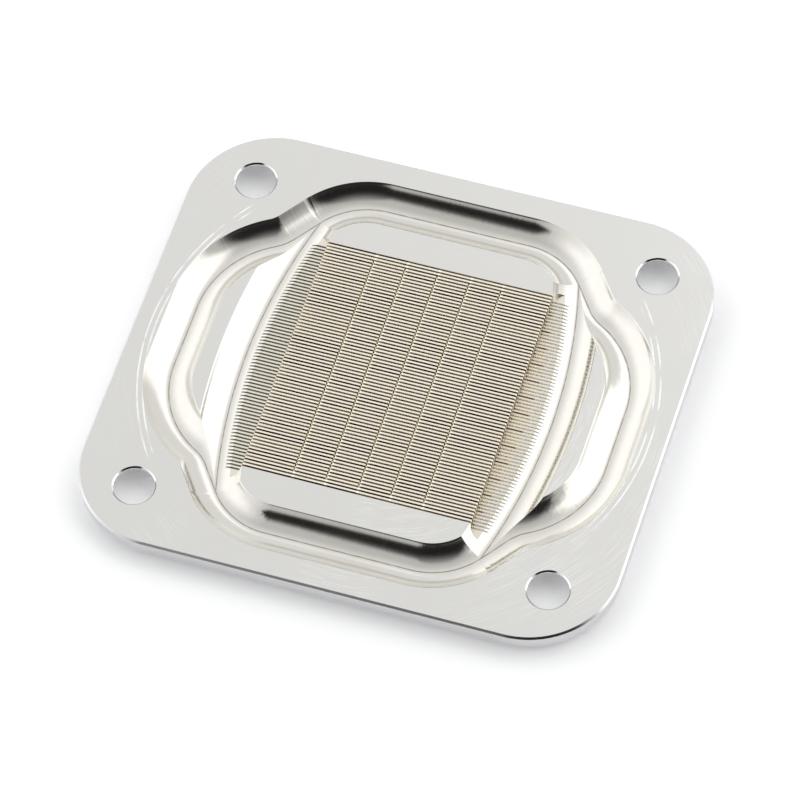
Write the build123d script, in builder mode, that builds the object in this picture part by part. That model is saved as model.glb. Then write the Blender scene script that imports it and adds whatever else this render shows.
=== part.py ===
from build123d import *
import os
from math import cos, radians, sin, sqrt

# Cold plate of a processor water block, lying with its fins up. X runs along the cooling
# slots, Y across them and Z up. The origin is the middle of the flat contact face below.

# Plate
plate_length = 56.2
plate_width = 50.4
plate_thickness = 2.4
corner_radius = 9.3
top_bevel = 0.2
under_bevel = 0.9

# Screw holes, countersunk from the contact face and lightly chamfered at the fin side
hole_inset_x = 6.5
hole_inset_y = 6.15
hole_diameter = 4.2
hole_bevel = 0.15
countersink_diameter = 8.4
countersink_angle = 90

# Ring groove and side grooves, all milled with the same ball-ended cutter to one depth
ball_radius = 3.0
groove_depth = 1.4
ring_inset = 5.3           # plate edge to the groove's centre line, on all four sides
shoulder_radius = 7.75     # from the end side round to the slanting stretch
shoulder_turn = 53.5
waist_radius = 5.0         # bends outwards again, round the screw hole
waist_turn = 24.7
lobe_radius = 10.3
lobe_half_length = 3.65    # half of the straight run at the far left and right
side_line_inset = 6.67     # lobe's centre line to the side groove's, at mid width

# Fin block, its end ledges, the fine slots and the cross cuts
block_inset = 4.1          # side groove's centre line to the block's upright end, at mid width
ledge_depth = 1.1
ledge_width = 3.0
ledge_cutter_radius = 1.0
end_bevel = 0.1            # broken edge at the top of the block's upright ends
land_width = 3.4           # least flat between the ring groove and the outer slots
slot_pitch = 0.4
slot_width = 0.2
slot_depth = 1.3
cross_cut_pitch = 3.4
cross_cut_count = 5
cross_cut_width = 0.16
cross_cut_depth = 0.3
uncut_fins = 2             # fins that the cross cuts leave whole at each end of the block

# Worked out from the sizes above
ring_line_x = plate_length / 2 - ring_inset
ring_line_y = plate_width / 2 - ring_inset
side_line_x = ring_line_x - side_line_inset
block_half_length = side_line_x - block_inset
groove_half_width = sqrt(ball_radius**2 - (ball_radius - groove_depth) ** 2)
ball_height = plate_thickness - groove_depth + ball_radius
slot_zone = 2 * (ring_line_y - groove_half_width - land_width)
slot_count = int((slot_zone - slot_width) / slot_pitch) + 1
slot_run = (slot_count - 1) * slot_pitch
ledge_half_width = slot_run / 2 + ledge_cutter_radius + slot_width / 2

# The slanting stretch and the end side take up what the three bends leave over.
lobe_turn = 90 - shoulder_turn + waist_turn
slant_angle = radians(shoulder_turn)
waist_angle = radians(shoulder_turn - waist_turn)
bends_drop = (
    shoulder_radius * (1 - cos(slant_angle))
    + waist_radius * (cos(waist_angle) - cos(slant_angle))
    + lobe_radius * cos(waist_angle)
)
bends_run = (
    shoulder_radius * sin(slant_angle)
    + waist_radius * (sin(slant_angle) - sin(waist_angle))
    + lobe_radius * (1 - sin(waist_angle))
)
slant_length = (ring_line_y - lobe_half_length - bends_drop) / sin(slant_angle)
end_side_half = ring_line_x - bends_run - slant_length * cos(slant_angle)
junction_x = end_side_half + shoulder_radius * sin(slant_angle)
junction_y = ring_line_y - shoulder_radius * (1 - cos(slant_angle))

with BuildPart() as cold_plate:
    # Blank, with a fine bevel round the fin side and a wide one round the contact side
    with BuildSketch():
        RectangleRounded(plate_length, plate_width, corner_radius)
    extrude(amount=plate_thickness)
    chamfer(cold_plate.faces().sort_by(Axis.Z)[-1].edges(), length=top_bevel)
    chamfer(cold_plate.faces().sort_by(Axis.Z)[0].edges(), length=under_bevel)

    # Ring groove: one quarter of the centre line, mirrored twice into a closed loop
    with BuildLine(Plane.XY.offset(ball_height)) as ring_line:
        end_side = Line((0, ring_line_y), (end_side_half, ring_line_y))
        shoulder = JernArc(end_side @ 1, end_side % 1, shoulder_radius, -shoulder_turn)
        slant = PolarLine(shoulder @ 1, slant_length, direction=shoulder % 1)
        waist = JernArc(slant @ 1, slant % 1, waist_radius, waist_turn)
        lobe = JernArc(waist @ 1, waist % 1, lobe_radius, -lobe_turn)
        Line(lobe @ 1, (ring_line_x, 0))
        mirror(about=Plane.YZ)
        mirror(about=Plane.XZ)
    with BuildSketch(Plane((0, ring_line_y, ball_height), z_dir=(1, 0, 0))):
        Circle(ball_radius)
    sweep(path=ring_line.wires()[0], mode=Mode.SUBTRACT)

    # Ledges: a small end mill drops the strip beside each end of the fin block
    with BuildSketch(Plane.XY.offset(plate_thickness)):
        with Locations(
            (block_half_length + ledge_width / 2, 0), (-block_half_length - ledge_width / 2, 0)
        ):
            RectangleRounded(ledge_width, 2 * ledge_half_width, ledge_cutter_radius)
    extrude(amount=-ledge_depth, mode=Mode.SUBTRACT)
    top_edges = cold_plate.edges().group_by(Axis.Z)[-1].filter_by(Axis.Y)
    block_reach = block_half_length + ledge_width / 2
    chamfer(top_edges.filter_by_position(Axis.X, -block_reach, block_reach), length=end_bevel)

    # Side grooves: bowed arcs that leave the ring and join it again
    for side in (1, -1):
        start = (side * junction_x, -junction_y)
        middle = (side * side_line_x, 0)
        finish = (side * junction_x, junction_y)
        with BuildLine(Plane.XY.offset(ball_height)) as side_line:
            side_arc = ThreePointArc(start, middle, finish)
        with BuildSketch(Plane(side_arc @ 0, z_dir=side_arc % 0)):
            Circle(ball_radius)
        sweep(path=side_line.wires()[0], mode=Mode.SUBTRACT)

    # Screw holes: the screw head's cone below, a light chamfer above
    for face, mouth_radius in (
        (Plane.XY.rotated((180, 0, 0)), countersink_diameter / 2),
        (Plane.XY.offset(plate_thickness), hole_diameter / 2 + hole_bevel),
    ):
        with Locations(face):
            with GridLocations(
                plate_length - 2 * hole_inset_x, plate_width - 2 * hole_inset_y, 2, 2
            ):
                CounterSinkHole(
                    hole_diameter / 2, mouth_radius, counter_sink_angle=countersink_angle
                )

    # Slots: parallel saw cuts that run out over the floors of the two side grooves
    with BuildSketch(Plane.XY.offset(plate_thickness)):
        with BuildLine():
            right = ThreePointArc(
                (junction_x, -junction_y), (side_line_x, 0), (junction_x, junction_y)
            )
            left = ThreePointArc(
                (-junction_x, junction_y), (-side_line_x, 0), (-junction_x, -junction_y)
            )
            Line(right @ 1, left @ 0)
            Line(left @ 1, right @ 0)
        make_face()
        with GridLocations(0, slot_pitch, 1, slot_count):
            Rectangle(2 * side_line_x, slot_width, mode=Mode.INTERSECT)
    extrude(amount=-slot_depth, mode=Mode.SUBTRACT)

    # Cross cuts: they break the fins into short lengths
    cross_cut_run = slot_run - 2 * uncut_fins * slot_pitch
    with BuildSketch(Plane.XY.offset(plate_thickness)):
        with GridLocations(cross_cut_pitch, 0, cross_cut_count, 1):
            Rectangle(cross_cut_width, cross_cut_run)
    extrude(amount=-cross_cut_depth, mode=Mode.SUBTRACT)

cold_plate.part.label = "cold_plate"

os.makedirs("parts", exist_ok=True)
export_step(cold_plate.part, "parts/cold_plate.step")
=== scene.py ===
import logging
from dataclasses import dataclass, field
from enum import Enum
from functools import partial, reduce

import bmesh
import bpy
import numpy as np
from mathutils import Matrix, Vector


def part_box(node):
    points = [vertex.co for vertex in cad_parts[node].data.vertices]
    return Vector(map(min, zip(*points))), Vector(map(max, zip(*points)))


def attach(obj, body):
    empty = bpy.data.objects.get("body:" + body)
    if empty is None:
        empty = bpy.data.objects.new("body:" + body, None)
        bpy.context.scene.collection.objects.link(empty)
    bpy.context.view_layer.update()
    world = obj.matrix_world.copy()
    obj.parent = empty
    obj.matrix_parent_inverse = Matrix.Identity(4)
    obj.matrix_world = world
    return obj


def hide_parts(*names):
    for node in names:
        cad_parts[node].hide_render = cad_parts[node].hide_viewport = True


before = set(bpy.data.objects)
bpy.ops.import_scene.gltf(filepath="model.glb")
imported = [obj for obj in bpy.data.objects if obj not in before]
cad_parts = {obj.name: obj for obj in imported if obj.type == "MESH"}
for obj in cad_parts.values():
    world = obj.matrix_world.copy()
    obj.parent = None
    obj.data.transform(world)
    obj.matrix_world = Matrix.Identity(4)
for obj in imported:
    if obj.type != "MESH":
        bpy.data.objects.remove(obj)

LOG = logging.getLogger("cold_plate")
MM = 0.001
TINY = 1e-9  # least length that a vector is divided by
CHUNK = 4000  # places that are set against a line at once, which keeps the arrays small
NODE = "cold_plate"
PLATING = "nickel_plating"
MARKS = "tool_marks"

Socket = bpy.types.NodeSocket
Term = Socket | float
Colour = tuple[float, float, float, float]
Limits = tuple[float, float]


# Numbers, lines and meshes


class Region(Enum):
    """Milled surfaces of the plate, each with a finish of its own."""

    FACE = "milled_face"
    EDGE = "milled_edge"
    CONTACT = "lapped_contact_face"
    RING = "ring_groove"
    SIDE = "side_groove"
    LEDGE = "ledge_floor"
    SLOT = "slot_walls"
    CROSS = "cross_cuts"
    FIN_TOP = "fin_tops"
    HOLE = "screw_hole"


def grid_faces(rows: int, columns: int, closed_rows: bool, closed_columns: bool) -> np.ndarray:
    """Corner numbers of the quads of a grid of points.

    Args:
        rows: Points along the first parameter.
        columns: Points along the second parameter.
        closed_rows: Whether the last row joins the first.
        closed_columns: Whether the last column joins the first.

    Returns:
        An array of shape (faces, 4).
    """
    i = np.arange(rows if closed_rows else rows - 1)[:, None]
    j = np.arange(columns if closed_columns else columns - 1)[None, :]
    i2, j2 = (i + 1) % rows, (j + 1) % columns
    quads = np.stack([i * columns + j, i2 * columns + j, i2 * columns + j2, i * columns + j2], -1)
    return quads.reshape(-1, 4)


def placeholder(region: Region) -> bpy.types.Material:
    """The region's material, empty until its finish is built."""
    found = bpy.data.materials.get(region.value)
    return found if found else bpy.data.materials.new(region.value)


def make_object(name: str, points: np.ndarray, faces: list, region: Region) -> bpy.types.Object:
    """New object from points in metres.

    Args:
        name: Object name.
        points: Vertex places, shape (vertices, 3).
        faces: Corner numbers of each face.
        region: Region whose finish the faces carry.

    Returns:
        The linked object, with one material slot.
    """
    mesh = bpy.data.meshes.new(name)
    mesh.from_pydata(points.reshape(-1, 3).tolist(), [], [list(map(int, f)) for f in faces])
    mesh.materials.append(placeholder(region))
    mesh.update()
    made = bpy.data.objects.new(name, mesh)
    bpy.context.scene.collection.objects.link(made)
    return made


def stacked(name: str, outlines: list, heights: list, region: Region) -> bpy.types.Object:
    """Closed solid of outlines stacked from the lowest up, with a cap at each end.

    Args:
        name: Object name.
        outlines: Plan outlines of one count of points, anticlockwise, in millimetres.
        heights: Height of each outline.
        region: Region whose finish the faces carry.

    Returns:
        The object, whose last two faces are the lower cap and the upper one.
    """
    rings = np.stack([np.column_stack([o, np.full(len(o), z)]) for o, z in zip(outlines, heights)])
    rows, count = rings.shape[:2]
    walls = grid_faces(rows, count, False, True)[:, ::-1]
    caps = [np.arange(count)[::-1], np.arange(count) + (rows - 1) * count]
    return make_object(name, rings * MM, [*walls, *caps], region)


def rounded_outline(half: np.ndarray, radius: float, grow: float, steps: int) -> np.ndarray:
    """Rectangle round the origin with round corners, moved outwards, anticlockwise.

    A corner's points are its centre + (radius + grow)(cos a, sin a) over a right angle.

    Args:
        half: Half length and half width of the rectangle.
        radius: Radius of its corners.
        grow: How far the outline is moved outwards.
        steps: Steps in each corner.

    Returns:
        Plan places, shape (n, 2).
    """
    angle = np.linspace(0.0, np.pi / 2, steps + 1)
    quarter = np.stack([np.cos(angle), np.sin(angle)], -1) * (radius + grow)
    turns = [quarter, quarter[::-1] * [-1, 1], -quarter, quarter[::-1] * [1, -1]]
    signs = np.array([[1, 1], [-1, 1], [-1, -1], [1, -1]])
    return np.concatenate([turn + sign * (half - radius) for turn, sign in zip(turns, signs)])


def fix_normals(made: bpy.types.Object) -> bpy.types.Object:
    """Turns every face of a closed cutter outwards.

    Args:
        made: The cutter.

    Returns:
        The same object.
    """
    work = bmesh.new()
    work.from_mesh(made.data)
    bmesh.ops.recalc_face_normals(work, faces=work.faces)
    work.to_mesh(made.data)
    work.free()
    return made


def cut(body: bpy.types.Object, cutter: bpy.types.Object) -> None:
    """Takes the cutter away from the body, applies the result and removes the cutter.

    The cut faces keep the cutter's material, so that each region can be told apart.

    Args:
        body: Object that is cut.
        cutter: Closed object that it is cut with.
    """
    step = body.modifiers.new("cut", "BOOLEAN")
    step.operation = "DIFFERENCE"
    step.solver = "EXACT"
    step.material_mode = "TRANSFER"
    step.object = fix_normals(cutter)
    graph = bpy.context.evaluated_depsgraph_get()
    fresh = bpy.data.meshes.new_from_object(body.evaluated_get(graph))
    body.modifiers.remove(step)
    old, body.data = body.data, fresh
    bpy.data.meshes.remove(old)
    spent = cutter.data
    bpy.data.objects.remove(cutter)
    bpy.data.meshes.remove(spent)


def read_all(items: bpy.types.bpy_prop_collection, name: str, kind: type, width: int = 1) -> np.ndarray:
    """One value of every vertex, corner or face of a mesh.

    Args:
        items: The mesh's vertices, corners or faces.
        name: Name of the value.
        kind: Type of its numbers.
        width: How many numbers it has.

    Returns:
        An array of shape (items, width), or (items,) for a single number.
    """
    values = np.empty(len(items) * width, kind)
    items.foreach_get(name, values)
    return values.reshape(-1, width) if width > 1 else values


@dataclass
class Line:
    """A milled line in the plan, sampled closely.

    Fields:
        points: Plan places, shape (n, 2), in millimetres.
        closed: Whether the line runs back into its start.
    """

    points: np.ndarray
    closed: bool

    def steps(self) -> np.ndarray:
        """Vector from each point to the next, along the line."""
        after = np.roll(self.points, -1, 0) if self.closed else self.points[1:]
        return after - self.points[: len(after)]

    def stations(self) -> np.ndarray:
        """Distance along the line of each point; a closed line has its length at the end."""
        return np.concatenate([[0.0], np.cumsum(np.hypot(*self.steps().T))])

    def tangents(self) -> np.ndarray:
        """Unit direction of travel at each point, the mean of the steps before and after.

        Returns:
            Directions, shape (n, 2).
        """
        step = self.steps()
        if self.closed:
            mean = step + np.roll(step, 1, 0)
        else:
            mean = np.concatenate([step[:1], step[:-1] + step[1:], step[-1:]])
        return mean / np.hypot(*mean.T)[:, None]

    def nearest(self, places: np.ndarray) -> tuple[np.ndarray, np.ndarray]:
        """Foot point of each place on the line.

        A place p projects on the step a->b at a + t(b - a), with
        t = (p - a).(b - a) / |b - a|^2 held between 0 and 1.

        Args:
            places: Plan places, shape (m, 2), in millimetres.

        Returns:
            Foot points, shape (m, 2), and their stations.
        """
        step = self.steps()
        start = self.points[: len(step)]
        station = self.stations()
        length = np.hypot(*step.T)
        foot, along = np.empty_like(places), np.empty(len(places))
        for part in np.array_split(np.arange(len(places)), max(1, len(places) // CHUNK)):
            from_start = places[part][:, None] - start
            t = np.clip((from_start * step).sum(-1) / length**2, 0.0, 1.0)
            gap = from_start - t[..., None] * step
            best = (gap**2).sum(-1).argmin(1)
            t_best = t[np.arange(len(part)), best]
            foot[part] = start[best] + t_best[:, None] * step[best]
            along[part] = station[best] + t_best * length[best]
        return foot, along


def bend(start: np.ndarray, heading: float, radius: float, turn: float, step: float) -> np.ndarray:
    """Points of an arc that leaves start along heading.

    The centre c lies a radius to the side of the turn, and a point is
    c + rotate(start - c, angle) for angles from 0 to the turn.

    Args:
        start: Plan place of the first point.
        heading: Direction of travel, in radians from +X.
        radius: Arc radius.
        turn: Turn in radians, positive to the left.
        step: Largest angle between points, in radians.

    Returns:
        Points after the start, shape (n, 2).
    """
    side = np.sign(turn)
    centre = start + side * radius * np.array([-np.sin(heading), np.cos(heading)])
    angle = np.linspace(0.0, turn, int(np.ceil(abs(turn) / step)) + 1)[1:]
    x, y = start - centre
    turned = [x * np.cos(angle) - y * np.sin(angle), x * np.sin(angle) + y * np.cos(angle)]
    return centre + np.stack(turned, -1)


# The plate's sub-assemblies


@dataclass
class Blank:
    """Plate before its cuts: rounded outline, fine bevel on top, wide bevel below.

    Sizes in millimetres; length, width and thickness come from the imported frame.

    Fields:
        length: Size along the slots.
        width: Size across the slots.
        thickness: Size from the contact face to the top face.
        corner_radius: Radius of the four corners in the plan.
        top_bevel: Bevel round the top face.
        under_bevel: Bevel round the contact face.
        corner_steps: Steps in each corner.
    """

    length: float
    width: float
    thickness: float
    corner_radius: float = 9.3
    top_bevel: float = 0.2
    under_bevel: float = 0.9
    corner_steps: int = 48

    def half(self) -> np.ndarray:
        """Half length and half width."""
        return np.array([self.length, self.width]) / 2

    def build(self) -> bpy.types.Object:
        """Closed solid of four outlines, whose caps are the contact face and the milled face.

        Returns:
            The body that the cutters are taken away from.
        """
        heights = [0.0, self.under_bevel, self.thickness - self.top_bevel, self.thickness]
        insets = [self.under_bevel, 0.0, 0.0, self.top_bevel]
        outlines = [
            rounded_outline(self.half(), self.corner_radius, -inset, self.corner_steps)
            for inset in insets
        ]
        made = stacked(NODE + "_milled", outlines, heights, Region.EDGE)
        for number, (cap, region) in enumerate(((-2, Region.CONTACT), (-1, Region.FACE)), 1):
            made.data.materials.append(placeholder(region))
            made.data.polygons[cap].material_index = number
        return made

    def wall_normals(self, places: np.ndarray) -> np.ndarray:
        """Outward normals of the edge, which is upright between its two bevels.

        The level part points away from the outline's nearest straight or corner centre.
        The height says whether the wall is upright or at 45 degrees.

        Args:
            places: Corner places in the plan with the height of the face's middle.

        Returns:
            Normals of any length, shape (n, 3).
        """
        middle = self.half() - self.corner_radius
        level = np.sign(places[:, :2]) * np.maximum(np.abs(places[:, :2]) - middle, 0.0)
        level /= np.maximum(np.hypot(*level.T), TINY)[:, None]
        rise = np.where(places[:, 2] > self.thickness - self.top_bevel, 1.0, 0.0)
        rise = np.where(places[:, 2] < self.under_bevel, -1.0, rise)
        return np.column_stack([level, rise])


@dataclass
class Grooves:
    """Ball-milled ring groove and the two bowed side grooves, in millimetres and degrees.

    Fields:
        blank: Plate that they are milled into.
        ball_radius: Radius of the ball-ended cutter.
        depth: Depth of all three grooves.
        ring_inset: Plate edge to the ring's centre line, on all four sides.
        shoulder_radius: Radius of the bend from the end side to the slanting stretch.
        shoulder_turn: How far that bend turns.
        waist_radius: Radius of the bend outwards again, round the screw hole.
        waist_turn: How far that bend turns.
        lobe_radius: Radius of the bend to the straight run at the far left and right.
        lobe_half_length: Half of that run.
        side_line_inset: Distance from that run's centre line to the side groove's.
        side_run_on: How far a side groove runs past the ring's centre line.
        rim_round: Stretch below the rim over which its normals turn up.
        rim_lean: Share of the level part that they lose at the rim.
        line_step: Angle between points in the bends of the ring.
        bow_points: Points of a side groove's line.
        end_points: Points from the last section of a side groove to the pole of its end.
        contact: Angle to each side of the cutter's lowest point within which it can cut.
        fine_step: Angle between points there.
        coarse_step: Angle between points above.
        junction: Place where the shoulder to the right and the back ends.
        side_line_x: Distance from the middle to a side groove's centre line.
        side_radius: Radius of a side groove's centre line.
        ring: Centre line of the ring.
        sides: Centre lines of the side grooves.
    """

    blank: Blank
    ball_radius: float = 3.0
    depth: float = 1.4
    ring_inset: float = 5.3
    shoulder_radius: float = 7.75
    shoulder_turn: float = 53.5
    waist_radius: float = 5.0
    waist_turn: float = 24.7
    lobe_radius: float = 10.3
    lobe_half_length: float = 3.65
    side_line_inset: float = 6.67
    side_run_on: float = 0.07
    rim_round: float = 0.3
    rim_lean: float = 0.45
    line_step: float = 2.0
    bow_points: int = 41
    end_points: int = 25
    contact: float = 63.0
    fine_step: float = 3.0
    coarse_step: float = 20.0
    junction: np.ndarray = field(init=False)
    side_line_x: float = field(init=False)
    side_radius: float = field(init=False)
    ring: Line = field(init=False)
    sides: list = field(init=False)

    def __post_init__(self) -> None:
        """Works out the centre lines of the three grooves."""
        self.ring, self.junction = self.ring_line()
        self.side_line_x = self.blank.length / 2 - self.ring_inset - self.side_line_inset
        sagitta = self.side_line_x - self.junction[0]
        self.side_radius = (self.junction[1] ** 2 + sagitta**2) / (2 * sagitta)
        self.sides = self.side_lines()

    def ring_line(self) -> tuple[Line, np.ndarray]:
        """Centre line of the ring: one quarter of straights and bends, mirrored twice.

        With s as the shoulder's turn and w as what the waist leaves of it, the bends use
        up shoulder (1 - cos s) + lobe cos w + waist (cos w - cos s) across the plate and
        shoulder sin s + lobe (1 - sin w) + waist (sin s - sin w) along it. The slanting
        stretch and the end side take up the rest.

        Returns:
            The closed line, and the place where the shoulder ends and a side groove starts.
        """
        line_x = self.blank.length / 2 - self.ring_inset
        line_y = self.blank.width / 2 - self.ring_inset
        slant, waist = np.radians(self.shoulder_turn), np.radians(self.shoulder_turn - self.waist_turn)
        drop = self.shoulder_radius * (1 - np.cos(slant)) + self.lobe_radius * np.cos(waist)
        drop += self.waist_radius * (np.cos(waist) - np.cos(slant))
        run = self.shoulder_radius * np.sin(slant) + self.lobe_radius * (1 - np.sin(waist))
        run += self.waist_radius * (np.sin(slant) - np.sin(waist))
        slant_length = (line_y - self.lobe_half_length - drop) / np.sin(slant)
        corner = np.array([line_x - run - slant_length * np.cos(slant), line_y])
        step = np.radians(self.line_step)
        quarter = [np.array([[0.0, line_y]]), corner[None]]
        quarter.append(bend(corner, 0.0, self.shoulder_radius, -slant, step))
        junction = quarter[-1][-1]
        ahead = slant_length * np.array([np.cos(slant), -np.sin(slant)])
        quarter.append(junction[None] + ahead)
        quarter.append(bend(quarter[-1][-1], -slant, self.waist_radius, slant - waist, step))
        quarter.append(bend(quarter[-1][-1], -waist, self.lobe_radius, waist - np.pi / 2, step))
        quarter.append(np.array([[line_x, 0.0]]))
        first = np.concatenate(quarter)
        half = np.concatenate([first, first[-2::-1] * [1, -1]])
        return Line(np.concatenate([half, half[-2:0:-1] * [-1, 1]]), True), junction

    def side_lines(self) -> list:
        """Centre lines of the side grooves, arcs that run a little past the ring's line.

        Returns:
            The line to the right and the line to the left.
        """
        reach = np.arcsin(self.junction[1] / self.side_radius) + self.side_run_on / self.side_radius
        angle = np.linspace(-reach, reach, self.bow_points)
        bow = self.side_radius * np.stack([np.cos(angle) - 1, np.sin(angle)], -1)
        bow += [self.side_line_x, 0.0]
        return [Line(bow, False), Line(-bow, False)]

    def around(self) -> np.ndarray:
        """Angles round the cutter from its lowest point, close together where it cuts.

        Returns:
            Angles in radians, rising.
        """
        fine = np.arange(-self.contact, self.contact + self.fine_step / 2, self.fine_step)
        coarse = np.arange(self.contact + self.coarse_step, 360.0 - self.contact, self.coarse_step)
        return np.radians(np.concatenate([fine, coarse]))

    def ball_height(self) -> float:
        """Height of the cutter ball's centre."""
        return self.blank.thickness - self.depth + self.ball_radius

    def tube(self, line: Line, name: str, region: Region) -> bpy.types.Object:
        """Solid swept by the cutter's ball along a line.

        At a point p with unit tangent t and level normal n, the section is
        p + r(n sin a - z cos a). An open line ends in half balls: there the section
        shrinks to r cos b and moves on by r sin b along t, for b up to a right angle.

        Args:
            line: Centre line of the groove.
            name: Object name.
            region: Region whose finish the groove carries.

        Returns:
            The closed cutter.
        """
        point, tangent = line.points, line.tangents()
        ease, move = np.ones(len(point)), np.zeros(len(point))
        if not line.closed:
            b = np.radians(np.linspace(0.0, 90.0, self.end_points)[1:-1])
            repeats = np.ones(len(point), int)
            repeats[[0, -1]] += len(b)
            point, tangent = np.repeat(point, repeats, 0), np.repeat(tangent, repeats, 0)
            ease = np.concatenate([np.cos(b[::-1]), ease, np.cos(b)])
            move = self.ball_radius * np.concatenate([-np.sin(b[::-1]), move, np.sin(b)])
        a = self.around()
        level = np.stack([-tangent[:, 1], tangent[:, 0]], -1)
        radius = (self.ball_radius * ease)[:, None]
        middle = point + move[:, None] * tangent
        plan = middle[:, None] + (radius * np.sin(a))[..., None] * level[:, None]
        height = self.ball_height() - radius * np.cos(a)
        points = np.concatenate([plan, height[..., None]], -1).reshape(-1, 3)
        faces = list(grid_faces(len(point), len(a), line.closed, True))
        if not line.closed:
            poles = line.points[[0, -1]] + self.ball_radius * line.tangents()[[0, -1]] * [[-1], [1]]
            pole, last = len(points), (len(point) - 1) * len(a)
            points = np.concatenate([points, np.column_stack([poles, [self.ball_height()] * 2])])
            k = np.arange(len(a))
            after = np.roll(k, -1)
            faces += list(np.column_stack([np.full_like(k, pole), after, k]))
            faces += list(np.column_stack([np.full_like(k, pole + 1), last + k, last + after]))
        return make_object(name, points * MM, faces, region)

    def cut_from(self, body: bpy.types.Object) -> None:
        """Mills the ring groove and both side grooves.

        Args:
            body: The plate.
        """
        for line in (self.ring, *self.sides):
            region = Region.RING if line is self.ring else Region.SIDE
            cut(body, self.tube(line, region.value + "_cutter", region))

    def normals(self, places: np.ndarray, region: Region) -> tuple[np.ndarray, np.ndarray]:
        """Exact groove normals, which point from the wall to the cutter's centre.

        Over the last stretch below the rim their level part shrinks with the square of the
        rise, as a lightly deburred rim turns up towards the face.

        Args:
            places: Places on the walls, shape (n, 3), in millimetres.
            region: The ring or the side grooves.

        Returns:
            Normals of any length, and map places, where u is the station along the line
            and v the distance across it, outwards, both in millimetres.
        """
        lines = [self.ring] if region is Region.RING else self.sides
        found = [line.nearest(places[:, :2]) for line in lines]
        gaps = np.stack([np.hypot(*(places[:, :2] - foot).T) for foot, _ in found])
        pick = (gaps.argmin(0), np.arange(len(places)))
        foot = np.stack([foot for foot, _ in found])[pick]
        along = np.stack([station for _, station in found])[pick]
        near_rim = np.clip((places[:, 2] - self.blank.thickness) / self.rim_round + 1, 0.0, 1.0)
        lean = (1.0 - self.rim_lean * near_rim**2)[:, None]
        away = places[:, :2] - foot
        normal = np.column_stack([-lean * away, self.ball_height() - places[:, 2]])
        outward = np.sign((away * foot).sum(-1))
        return normal, np.column_stack([along, outward * np.hypot(*away.T)])


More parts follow.
